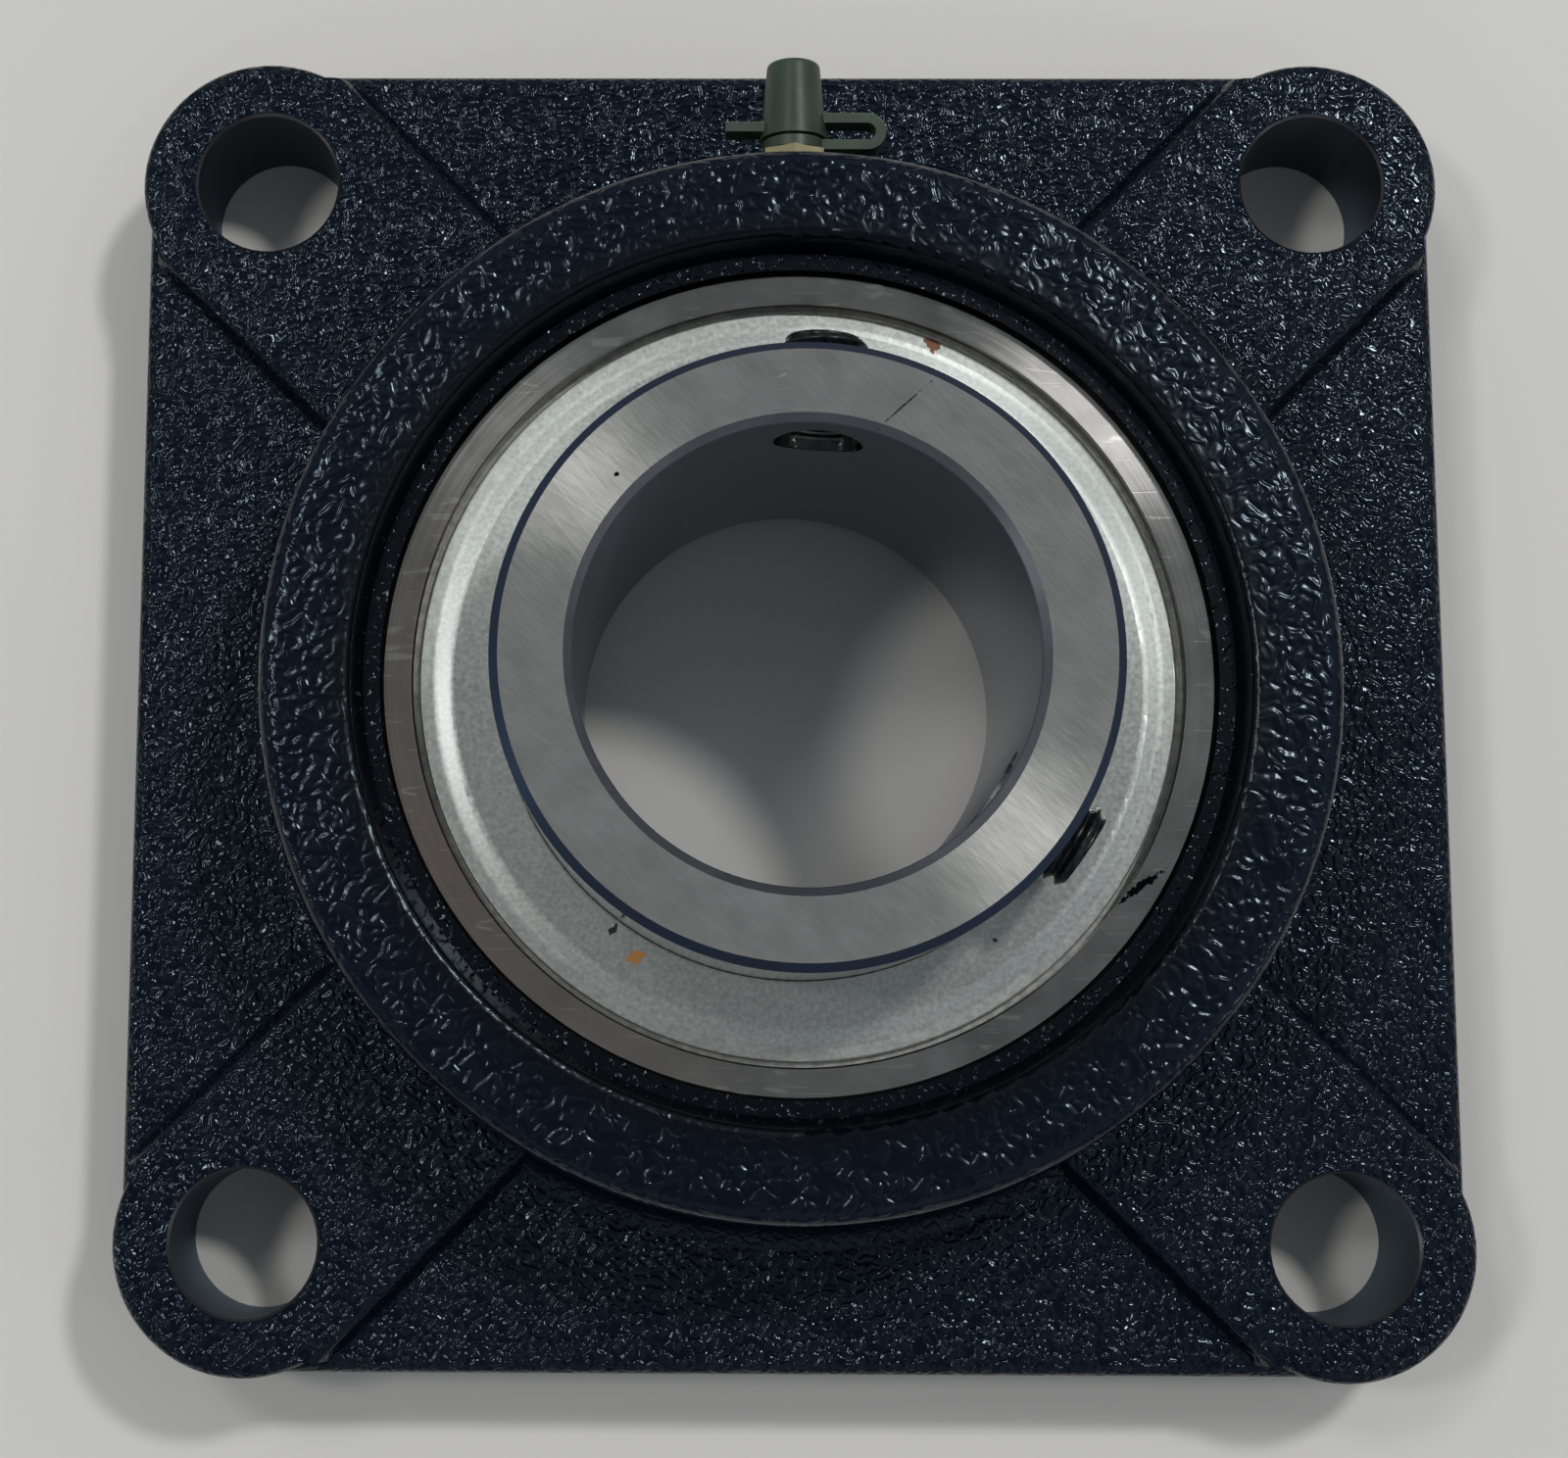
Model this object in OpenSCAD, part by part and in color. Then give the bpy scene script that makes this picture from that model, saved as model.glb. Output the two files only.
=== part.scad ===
// Square flange unit: a cast housing with a spherical seat, and a ball bearing insert
// that swivels in it and is locked to its shaft by two set screws.
// The mounting face lies on z = 0, the shaft runs along Z, and the grease nipple points to +Y.

/* [Flange] */
// Distance between the bolt holes, the same both ways
bolt_spacing = 130; // [124:0.5:160]
// Diameter of a bolt hole
bolt_hole_d = 17.5; // [11:0.1:19]
// Width of the chamfer at a bolt hole's mouth
bolt_hole_chamfer = 0.4; // [0.2:0.1:1]
// Radius of the round lobe at each bolt hole
lobe_r = 16; // [14:0.1:20]
// How far a lobe stands out past the flange's straight edges
lobe_proud = 0.6; // [0.3:0.1:2]
// Height of the flange between the pads
flange_h = 17; // [12:0.1:19]
// Height of the diagonal pads that carry the bolt heads
pad_h = 20; // [19.5:0.1:24]
// Radius along the upper edges of lobes and pads
pad_edge_r = 1.4; // [0.5:0.1:2]
// How much wider a pad is at its foot, on each side
pad_flare = 1.2; // [0.5:0.1:1.8]
// Radius in the corner between a pad and the flange
pad_foot_r = 1.2; // [0.5:0.1:1.6]
// How far a pad's straight sides stand outside its lobe
pad_proud = 0.2; // [0.1:0.1:0.5]
// Radius along the upper edge of the flange
flange_edge_r = 1.4; // [0.5:0.1:3]
// Draft of the cast sides, in degrees
draft = 1; // [0.5:0.1:3]

/* [Boss and seat] */
// Diameter of the spherical seat and of the insert's outer ring
seat_d = 100; // [94:0.5:122]
// Height of the seat's centre above the mounting face
seat_z = 26; // [24:0.1:30]
// Width of the seat along the shaft
seat_w = 28; // [26:0.1:32]
// Depth from the boss's rim to the front edge of the seat
mouth_depth = 4; // [2:0.1:8]
// Width of the ledge between the seat and the wall of the mouth
mouth_ledge = 1.9; // [1:0.1:4]
// How much the mouth widens from its ledge to the rim
mouth_flare = 1.3; // [0.5:0.1:3]
// Radius on the inner edge of the rim
mouth_edge_r = 1.1; // [0.4:0.1:1.5]
// Wall of the boss outside the seat's radius
boss_wall = 11.7; // [8:0.1:15]
// Radius on the outer edge of the rim
rim_r = 2.2; // [1:0.1:4]
// Radius in the corner between boss and flange
boss_foot_r = 4; // [4:0.1:6]
// Draft of the boss's outside, in degrees
boss_draft = 3; // [1:0.5:6]
// Width left around the seat by the recess in the back
back_ledge = 3.6; // [2:0.1:6]
// Chamfer at the edge of the recess in the back
back_chamfer = 1; // [0.5:0.1:2]

/* [Grease way] */
// Distance of the grease groove from the seat's centre plane
groove_offset = 7; // [6.4:0.1:7.4]
// Radius of the grease groove's round section
groove_r = 1.3; // [0.8:0.1:1.6]
// Diameter of the nipple's thread
nipple_thread_d = 6; // [5:0.1:8]
// Length of the nipple's thread
nipple_thread_len = 6; // [4:0.1:7]
// Diameter of the passage from the nipple to the groove
passage_d = 3; // [2:0.1:4]
// Diameter of the spot face under the nipple
spot_d = 17; // [16:0.1:20]
// Depth of the spot face below the boss's edge
spot_depth = 0.2; // [0.1:0.1:1]
// Diameter of the grease holes in the outer ring
grease_hole_d = 2; // [1.5:0.1:2.4]

/* [Insert] */
// Diameter of the bore for the shaft
bore_d = 50.8; // [45:0.1:55]
// Reach of the inner ring past the seat's centre, on the set screw side
ring_front = 33.4; // [30:0.1:42]
// Reach of the inner ring past the seat's centre, on the back
ring_rear = 22.2; // [16:0.1:24]
// Width of the outer ring
outer_w = 25; // [23.5:0.1:26]
// Diameter of a ball
ball_d = 14.288; // [12:0.001:17.2]
// Wall of the outer ring at the bottom of its groove
outer_wall = 4.08; // [3:0.01:6]
// Height of both rings' shoulders above the bottom of their grooves
shoulder_h = 2.92; // [2:0.01:3.6]
// Radius of a groove as a share of the ball's diameter
groove_share = 0.52; // [0.51:0.005:0.56]
// Chamfer at the ends of the bore
bore_chamfer = 1; // [0.4:0.1:2]
// Chamfer at the ends of the inner ring's outside
ring_chamfer = 1; // [0.4:0.1:2]
// Chamfer at the outer ring's outer edges
outer_chamfer = 0.75; // [0.3:0.05:1.2]
// Chamfer at the mouths of the outer ring's seal seats
seal_chamfer = 0.2; // [0.1:0.1:1.2]
// Depth of the seal seats into the outer ring's shoulders
seal_step = 1.3; // [0.8:0.1:2]

/* [Cage] */
// Thickness of the cage's sheet
cage_t = 0.9; // [0.6:0.1:1.1]
// Gap between the cage and the rings' shoulders
cage_gap = 0.8; // [0.5:0.1:1.5]
// Gap between a ball and its pocket
pocket_gap = 0.15; // [0.1:0.05:0.4]
// Diameter of a rivet's shank
rivet_d = 2; // [1.6:0.1:2.4]
// Diameter of a rivet's head
rivet_head_d = 3.6; // [3:0.1:3.8]
// Height of a rivet's head
rivet_head_h = 0.8; // [0.5:0.1:1.2]

/* [Seals and slingers] */
// Thickness of the seal's steel case
case_t = 0.6; // [0.4:0.1:0.8]
// Height of the rim that holds the case in the outer ring
case_rim = 0.5; // [0.3:0.1:0.8]
// Width of the case's disc that the rubber covers
lip_cover = 1.6; // [1:0.1:3]
// Thickness of the rubber on the case
lip_t = 0.5; // [0.3:0.1:0.6]
// Gap between the rubber lip and the inner ring
lip_gap = 0.08; // [0.05:0.01:0.1]
// Thickness of the slinger's sheet
slinger_t = 0.7; // [0.5:0.05:1]
// Gap between the slinger's edge and the outer ring
slinger_edge_gap = 0.6; // [0.4:0.1:1.2]
// Width of the slinger's lower rim
slinger_rim_w = 1.8; // [1.5:0.1:4]
// Rise from the lower rim to the inner flat of the slinger
slinger_step = 0.4; // [0.3:0.1:1.2]
// Width of the pressed step between rim and flat
slinger_step_w = 1.8; // [0.8:0.1:2.4]
// Share of the step's slope that each of its two bends takes
slinger_step_share = 0.2; // [0.1:0.02:0.3]
// Radius of the slinger's outer edge
slinger_edge_r = 0.25; // [0.1:0.05:0.35]
// Radius of the slinger's edge at the inner ring, as a share of the sheet's thickness
slinger_bend_share = 0.45; // [0.2:0.05:0.8]

/* [Set screws] */
// Diameter of a set screw
screw_d = 10; // [6:0.1:11]
// Length of a set screw
screw_len = 10; // [8:0.1:12]
// Distance from the inner ring's end face to the screws' axes
screw_inset = 9.4; // [7:0.1:12]
// Direction of the first screw, in degrees from +X towards +Y
screw_angle = 86; // [0:1:359]
// Angle between the two screws, in degrees
screw_spread = 120; // [60:1:120]
// How far the screws stand out of the inner ring
screw_proud = 2.6; // [0:0.1:3]
// Width across flats of the hexagon socket
socket_af = 5; // [3:0.1:5]
// Depth of the hexagon socket
socket_depth = 5; // [3:0.1:6]
// Chamfer at a screw's ends
screw_chamfer = 0.8; // [0.3:0.1:1.2]

/* [Nipple and cap] */
// Width across flats of the nipple's hexagon
hex_af = 7; // [6.5:0.1:8]
// Height of the nipple's hexagon
hex_h = 3; // [2.5:0.1:5]
// Diameter of the nipple's neck
neck_d = 4.4; // [4:0.1:5]
// Length of the nipple's neck
neck_len = 1.8; // [1.5:0.1:3]
// Diameter of the nipple's head
head_d = 6.4; // [6:0.1:6.5]
// Length of the nipple's head, from neck to tip
head_len = 5.2; // [5:0.1:7]
// Length of the cone under the head, which a grease coupler grips
head_grip = 1; // [0.6:0.1:1.4]
// Length from the neck to the upper edge of the head's round part
head_band = 2.4; // [1.8:0.1:3]
// Diameter of the nipple's flat tip
tip_d = 3.2; // [3:0.1:4]
// Diameter of the hole down the nipple
nipple_bore_d = 2.2; // [2.1:0.05:2.4]
// Diameter of the check ball
check_ball_d = 2; // [1.8:0.05:2]
// Diameter of the holes at both ends of the nipple's bore
check_hole_d = 1.4; // [1:0.1:1.5]
// Length of the hole that the check ball closes
check_hole_len = 0.7; // [0.4:0.1:1]
// Length of the crimped end that holds the check spring
crimp_len = 0.8; // [0.5:0.1:1.5]
// Wire diameter of the check spring
spring_wire_d = 0.3; // [0.2:0.05:0.4]
// Turns of the check spring
spring_turns = 12; // [6:1:14]
// Outer diameter of the cap at its open end
cap_base_d = 8; // [7.9:0.1:9]
// Outer diameter of the cap at its closed end
cap_top_d = 6.3; // [5.8:0.1:7]
// Length of the cap
cap_len = 9.5; // [9:0.1:12]
// Thickness of the cap's closed end
cap_end_t = 1.3; // [1:0.1:2]
// Width of the cap's wall at its closed end
cap_wall = 1.1; // [0.8:0.1:1.4]
// Gap between the cap and the nipple's head
cap_gap = 0.1; // [0.05:0.05:0.15]
// Radius round the cap's closed end
cap_round = 0.6; // [0.3:0.1:1]
// Distance of the tab from the cap's open end
tab_lift = 0.7; // [0:0.1:3]
// Reach of the pull tab from the nipple's axis
tab_reach = 8.2; // [6:0.1:10]
// Thickness of the tab and of the strap
strap_t = 1.2; // [0.8:0.1:1.4]
// Width of the strap's ring outside the nipple's neck
strap_ring_w = 1.5; // [0.8:0.1:2]
// Width of the tab and of the strap
strap_w = 3.2; // [2:0.1:4]
// Reach of the strap's loop from the nipple's axis
loop_reach = 11; // [9:0.1:12]
// Height of the strap's loop above the foot of its ring
loop_top = 4.5; // [4:0.1:6]

/* [Fits] */
// Gap between the outer ring and its seat
seat_gap = 0.03; // [0.02:0.01:0.08]
// Gap between a ball and the bottom of each groove
ball_play = 0.03; // [0.02:0.01:0.06]
// Gap round a set screw in its hole
thread_gap = 0.05; // [0.02:0.01:0.1]
// Gap where one piece is pressed or screwed into another for good
press_gap = 0.01; // [0.005:0.005:0.02]
// Gap between pieces that pass each other
running_gap = 0.3; // [0.2:0.05:0.5]

/* [Hidden] */
$fn = 96;

// Depth by which a cut starts outside the metal
over = 1;
// Depth by which the rounds at the feet of boss and pads run into the flange
foot_sink = 0.15;
// One ball to a node
ball_count = 10;
ball_step = 360 / ball_count;
first_ball_angle = ball_step / 2;

// Flange
bolt_r = bolt_spacing / sqrt(2);
flange_foot = bolt_spacing / 2 + lobe_r - lobe_proud;
flange_top = flange_foot - flange_h * tan(draft);
lobe_top_r = lobe_r - pad_h * tan(draft);
pad_half_w = lobe_top_r + pad_proud;
pad_limit = flange_top - flange_edge_r;
corner_cut_w = lobe_r - lobe_proud;

// Boss, seat and mouth
seat_r = seat_d / 2;
seat_hole_r = seat_r + seat_gap;
seat_front_z = seat_z + seat_w / 2;
seat_rear_z = seat_z - seat_w / 2;
seat_edge_r = sqrt(seat_hole_r * seat_hole_r - seat_w * seat_w / 4);
ledge_r = seat_edge_r + mouth_ledge;
mouth_r = ledge_r + mouth_flare;
boss_top = seat_front_z + mouth_depth;
boss_r = seat_r + boss_wall;
boss_foot_wall_r = boss_r + (boss_top - rim_r - flange_h) * tan(boss_draft);
back_r = seat_edge_r + back_ledge;
slot_half_w = outer_w / 2 + running_gap;

// Races
ball_r = ball_d / 2;
race_r = ball_d * groove_share;
pitch_r = seat_r - outer_wall - ball_play - ball_r;
outer_race_at = pitch_r + ball_r + ball_play - race_r;
inner_race_at = pitch_r - ball_r - ball_play + race_r;
outer_shoulder_r = pitch_r + ball_r + ball_play - shoulder_h;
inner_shoulder_r = pitch_r - ball_r - ball_play + shoulder_h;
outer_half_w = outer_w / 2;
outer_face_r = sqrt(seat_r * seat_r - outer_half_w * outer_half_w);
bore_r = bore_d / 2;

// Seals and slingers, as distances from the seat's centre plane
cage_half_w = ball_r + pocket_gap + cage_t;
seal_seat = cage_half_w + running_gap;
seal_seat_r = outer_shoulder_r + seal_step;
case_r = seal_seat_r - press_gap;
case_top = seal_seat + case_t;
case_hole_r = inner_shoulder_r + slinger_t + 2 * running_gap;
lip_r = inner_shoulder_r + lip_gap;
slinger_foot = case_top + max(case_rim, lip_t) + running_gap;
slinger_rim_top = slinger_foot + slinger_t;
slinger_flat_top = slinger_rim_top + slinger_step;
slinger_hole_r = inner_shoulder_r + press_gap;
slinger_r = seal_seat_r - slinger_edge_gap;

// Cage
cage_in_r = inner_shoulder_r + cage_gap;
cage_out_r = outer_shoulder_r - cage_gap;

// Set screws
screw_z = seat_z + ring_front - screw_inset;
screw_r = screw_d / 2;
screw_out = inner_shoulder_r + screw_proud;
screw_in = screw_out - screw_len;

// Nipple, as distances along its axis from the spot face
nipple_z = seat_z + groove_offset;
spot_y = boss_r - spot_depth;
groove_at = sqrt(seat_r * seat_r - groove_offset * groove_offset);
neck_base = press_gap + hex_h;
strap_ring_r = neck_d / 2 + strap_ring_w;
strap_foot = neck_base + press_gap;
head_base = neck_base + neck_len;
tip_at = head_base + head_len;
check_ball_r = check_ball_d / 2;
check_hole_r = check_hole_d / 2;
check_seat_at = tip_at - check_hole_len;
check_ball_at = check_seat_at - press_gap - sqrt(check_ball_r * check_ball_r - check_hole_r * check_hole_r);
spring_foot = crimp_len - nipple_thread_len + press_gap;
spring_top = check_ball_at - check_ball_r;
cap_base = strap_foot + strap_t + running_gap;
cap_top = cap_base + cap_len;

// The sliver between a corner at p, with edges along the unit vectors d1 and d2,
// and an arc of radius r that touches both edges: cut from an edge or put into a corner.
module corner_arc(p, d1, d2, r) {
    half = acos(d1 * d2) / 2;
    mid = (d1 + d2) / norm(d1 + d2);
    reach = r / tan(half);
    centre = p + mid * (r / sin(half));
    difference() {
        polygon([p - mid * over / 2, p + d1 * reach, centre, p + d2 * reach]);
        translate(centre) circle(r);
    }
}

// Turns a shape that was drawn standing on the nipple's spot face so that it points to +Y
module on_nipple_axis() {
    translate([0, spot_y, nipple_z]) rotate([-90, 0, 0]) children();
}

// Mirrors a piece of the front half of the insert to its back half
module to_rear() {
    translate([0, 0, 2 * seat_z]) mirror([0, 0, 1]) children();
}

// A ring turned from a section that is drawn as radius and distance from the seat's centre
module turned() {
    translate([0, 0, seat_z]) rotate_extrude() children();
}

// What lies outside one drafted side of the flange, with the round of its upper edge
module flange_side_section() {
    lean = over * tan(draft);
    polygon([
        [flange_foot + lean, -over], [flange_foot + 2 * over, -over],
        [flange_foot + 2 * over, flange_h + over], [flange_top - lean, flange_h + over]
    ]);
    corner_arc([flange_top, flange_h], [-1, 0], [sin(draft), -cos(draft)], flange_edge_r);
}

// The square plate, with its corners cut back under the lobes
module flange_plate() {
    a = flange_foot + over;
    b = flange_foot - corner_cut_w - over;
    difference() {
        linear_extrude(flange_h) polygon([
            [a, b], [b, a], [-b, a], [-a, b], [-a, -b], [-b, -a], [b, -a], [a, -b]
        ]);
        for (i = [0:3]) rotate([0, 0, 90 * i]) rotate([90, 0, 0]) {
            linear_extrude(2 * b + 4 * over, center = true) flange_side_section();
        }
    }
}

// Section of half a pad: flared side, rounded upper edge and rounded foot
module half_pad_section() {
    foot = pad_half_w + pad_flare;
    slope = [pad_flare, flange_h - pad_h] / norm([pad_flare, flange_h - pad_h]);
    difference() {
        polygon([[-over, over], [foot, over], [foot, flange_h], [pad_half_w, pad_h], [-over, pad_h]]);
        corner_arc([pad_half_w, pad_h], [-1, 0], slope, pad_edge_r);
    }
    corner_arc([foot, flange_h] + slope * foot_sink, [1, 0], -slope, pad_foot_r);
}

// A lobe round one bolt hole, and the pad that runs from it to the boss and stays inside
// the flange's sides
module pad() {
    pad_from = seat_r + over;
    pad_to = bolt_r + lobe_r / 2;
    translate([bolt_r, 0, 0]) rotate_extrude() difference() {
        polygon([[0, 0], [lobe_r, 0], [lobe_top_r, pad_h], [0, pad_h]]);
        corner_arc([lobe_top_r, pad_h], [-1, 0], [sin(draft), -cos(draft)], pad_edge_r);
    }
    intersection() {
        translate([pad_from, 0, 0]) rotate([90, 0, 90]) linear_extrude(pad_to - pad_from) {
            half_pad_section();
            mirror([1, 0]) half_pad_section();
        }
        rotate(45) linear_extrude(pad_h + over) square(2 * pad_limit, center = true);
    }
}

// The round boss with its rolled rim and rounded foot
module boss() {
    wall = [sin(boss_draft), -cos(boss_draft)];
    top_r = boss_r - rim_r * tan(boss_draft);
    rotate_extrude() {
        difference() {
            polygon([
                [0, over], [boss_foot_wall_r, over], [boss_foot_wall_r, flange_h],
                [top_r, boss_top], [0, boss_top]
            ]);
            corner_arc([top_r, boss_top], [-1, 0], wall, rim_r);
        }
        corner_arc([boss_foot_wall_r, flange_h] + wall * foot_sink, [1, 0], -wall, boss_foot_r);
    }
}

// The mouth in front of the seat, the seat itself and the recess behind it
module seat_cut() {
    mouth_wall = [-mouth_flare, -mouth_depth] / norm([mouth_flare, mouth_depth]);
    translate([0, 0, seat_z]) sphere(seat_hole_r);
    rotate_extrude() {
        polygon([
            [0, seat_z], [seat_edge_r - over, seat_z], [seat_edge_r, seat_front_z],
            [ledge_r, seat_front_z], [mouth_r, boss_top], [mouth_r, boss_top + over],
            [0, boss_top + over]
        ]);
        corner_arc([mouth_r, boss_top], [1, 0], mouth_wall, mouth_edge_r);
    }
    rotate_extrude() polygon([
        [0, -over], [back_r + back_chamfer + over, -over], [back_r, back_chamfer],
        [back_r, seat_rear_z - back_ledge / 2], [seat_edge_r, seat_rear_z],
        [seat_edge_r - over, seat_z], [0, seat_z]
    ]);
}

// Two slots through the rear half of the seat, for loading the insert edge on
module loading_slots() {
    translate([-seat_hole_r, -slot_half_w, over]) cube([2 * seat_hole_r, 2 * slot_half_w, seat_z - over]);
}

// Groove round the seat, and the way out of it to the nipple
module grease_way() {
    translate([0, 0, nipple_z]) rotate_extrude() translate([groove_at, 0]) circle(groove_r);
    on_nipple_axis() {
        cylinder(h = spot_y, d = spot_d);
        translate([0, 0, -nipple_thread_len - over]) {
            cylinder(h = nipple_thread_len + 2 * over, d = nipple_thread_d);
        }
        translate([0, 0, groove_at - spot_y]) cylinder(h = spot_y - groove_at, d = passage_d);
    }
}

module bolt_holes() {
    mouth = bolt_hole_d / 2 + bolt_hole_chamfer;
    for (i = [0:3]) rotate([0, 0, 45 + 90 * i]) translate([bolt_r, 0, 0]) {
        translate([0, 0, -over]) cylinder(h = pad_h + 2 * over, d = bolt_hole_d);
        translate([0, 0, pad_h - bolt_hole_chamfer]) {
            cylinder(h = bolt_hole_chamfer + over, r1 = bolt_hole_d / 2, r2 = mouth + over);
        }
    }
}

// Cast iron housing, painted, with machined seat, holes and mounting face
module housing() {
    color("#1d2633") difference() {
        union() {
            flange_plate();
            for (i = [0:3]) rotate([0, 0, 45 + 90 * i]) pad();
            boss();
        }
        seat_cut();
        loading_slots();
        grease_way();
        bolt_holes();
    }
}

// Outer ring: ground sphere outside, ball groove inside, and a seat for each seal
module outer_ring() {
    color("#8a8580") difference() {
        turned() difference() {
            intersection() {
                circle(seat_r);
                translate([outer_shoulder_r, -outer_half_w]) square([seat_r, outer_w]);
            }
            translate([outer_race_at, 0]) circle(race_r);
            for (side = [-1, 1]) scale([1, side]) {
                polygon([
                    [0, seal_seat], [seal_seat_r, seal_seat], [seal_seat_r, outer_half_w - seal_chamfer],
                    [seal_seat_r + seal_chamfer + over, outer_half_w + over], [0, outer_half_w + over]
                ]);
                polygon([
                    [outer_face_r - outer_chamfer - over, outer_half_w + over],
                    [outer_face_r + outer_chamfer, outer_half_w - 2 * outer_chamfer],
                    [seat_r + over, outer_half_w + over]
                ]);
            }
        }
        for (turn = [90, 270]) rotate([0, 0, turn]) translate([outer_shoulder_r - over, 0, nipple_z]) {
            rotate([0, 90, 0]) cylinder(h = seat_r, d = grease_hole_d);
        }
    }
}

// Inner ring: bore for the shaft, ball groove, and two tapped holes near the front end
module inner_ring() {
    color("#9a9a98") difference() {
        turned() difference() {
            polygon([
                [bore_r + bore_chamfer, -ring_rear], [inner_shoulder_r - ring_chamfer, -ring_rear],
                [inner_shoulder_r, ring_chamfer - ring_rear], [inner_shoulder_r, ring_front - ring_chamfer],
                [inner_shoulder_r - ring_chamfer, ring_front], [bore_r + bore_chamfer, ring_front],
                [bore_r, ring_front - bore_chamfer], [bore_r, bore_chamfer - ring_rear]
            ]);
            translate([inner_race_at, 0]) circle(race_r);
        }
        for (i = [0, 1]) rotate([0, 0, screw_angle - i * screw_spread]) {
            translate([0, 0, screw_z]) rotate([0, 90, 0]) cylinder(h = seat_r, r = screw_r + thread_gap);
        }
    }
}

module ball(i) {
    color("silver") rotate([0, 0, first_ball_angle + i * ball_step]) {
        translate([pitch_r, 0, seat_z]) sphere(ball_r);
    }
}

// Front half of the cage: a pressed ribbon with a round pocket over each ball
module half_cage() {
    difference() {
        intersection() {
            union() {
                translate([0, 0, seat_z]) cylinder(h = cage_t, r = cage_out_r);
                for (i = [0:ball_count - 1]) rotate([0, 0, first_ball_angle + i * ball_step]) {
                    translate([pitch_r, 0, seat_z]) sphere(cage_half_w);
                }
            }
            translate([0, 0, seat_z]) cylinder(h = cage_half_w + over, r = cage_out_r);
        }
        translate([0, 0, seat_z - over]) cylinder(h = cage_half_w + 2 * over, r = cage_in_r);
        for (i = [0:ball_count - 1]) rotate([0, 0, first_ball_angle + i * ball_step]) {
            translate([pitch_r, 0, seat_z]) sphere(ball_r + pocket_gap);
        }
        for (i = [0:ball_count - 1]) rotate([0, 0, i * ball_step]) {
            translate([pitch_r, 0, seat_z - over]) cylinder(h = cage_t + 2 * over, d = rivet_d);
        }
    }
}

module cage_front() {
    color("#8d8f8c") half_cage();
}

module cage_rear() {
    color("#8d8f8c") to_rear() half_cage();
}

// Domed head of a rivet, drawn on the front face of the cage
module rivet_head() {
    dome_r = (rivet_head_h * rivet_head_h + rivet_head_d * rivet_head_d / 4) / (2 * rivet_head_h);
    intersection() {
        translate([0, 0, rivet_head_h - dome_r]) sphere(dome_r);
        cylinder(h = rivet_head_h, d = rivet_head_d);
    }
}

// Ten rivets that hold the halves of the cage together, one between each two balls
module cage_rivets() {
    half = cage_t + press_gap;
    color("#a8aaa6") for (i = [0:ball_count - 1]) rotate([0, 0, i * ball_step]) {
        translate([pitch_r, 0, seat_z]) {
            translate([0, 0, -half]) cylinder(h = 2 * half, d = rivet_d - 2 * press_gap);
            for (side = [0, 1]) mirror([0, 0, side]) translate([0, 0, half]) rivet_head();
        }
    }
}

// Pressed steel disc that carries a seal's rubber, with a rim that grips the outer ring
module seal_case() {
    turned() {
        translate([case_hole_r, seal_seat + press_gap]) square([case_r - case_hole_r, case_t - press_gap]);
        translate([case_r - case_t, seal_seat + press_gap]) square([case_t, case_t + case_rim]);
    }
}

// Rubber bonded over the inner edge of a case, with a lip that closes on the inner ring
module seal_lip() {
    front = case_top + press_gap;
    back = seal_seat;
    edge = case_hole_r - press_gap;
    turned() polygon([
        [edge, back], [edge, front], [edge + lip_cover, front], [edge + lip_cover, front + lip_t],
        [edge - lip_t, front + lip_t], [lip_r, front], [lip_r, front - lip_t],
        [edge - lip_t, back + lip_t], [edge - lip_t, back]
    ]);
}

module seal_case_front() {
    color("#707472") seal_case();
}

module seal_case_rear() {
    color("#707472") to_rear() seal_case();
}

module seal_lip_front() {
    color("#26262a") seal_lip();
}

module seal_lip_rear() {
    color("#26262a") to_rear() seal_lip();
}

// Slinger: zinc plated sheet pressed onto the inner ring, stepped down to a flat rim
module slinger() {
    t = slinger_t;
    step_in = slinger_r - slinger_rim_w - slinger_step_w;
    step_out = slinger_r - slinger_rim_w;
    bend = t * slinger_bend_share;
    slope = [slinger_step_w, -slinger_step] / norm([slinger_step_w, slinger_step]);
    slope_angle = atan2(slinger_step, slinger_step_w);
    step_r = slinger_step_share * norm([slinger_step_w, slinger_step]) / tan(slope_angle / 2);
    turned() {
        difference() {
            polygon([
                [slinger_hole_r, slinger_foot], [slinger_hole_r + t, slinger_foot],
                [slinger_hole_r + t, slinger_flat_top - t], [step_in - bend, slinger_flat_top - t],
                [step_out - bend, slinger_foot], [slinger_r, slinger_foot],
                [slinger_r, slinger_rim_top], [step_out, slinger_rim_top],
                [step_in, slinger_flat_top], [slinger_hole_r, slinger_flat_top]
            ]);
            corner_arc([slinger_hole_r, slinger_flat_top], [1, 0], [0, -1], bend);
            corner_arc([step_in, slinger_flat_top], [-1, 0], slope, step_r);
            corner_arc([slinger_r, slinger_rim_top], [-1, 0], [0, -1], slinger_edge_r);
        }
        corner_arc([step_out, slinger_rim_top], [1, 0], -slope, step_r);
    }
}

module slinger_front() {
    color("#b9c4bf") slinger();
}

module slinger_rear() {
    color("#b9c4bf") to_rear() slinger();
}

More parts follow.
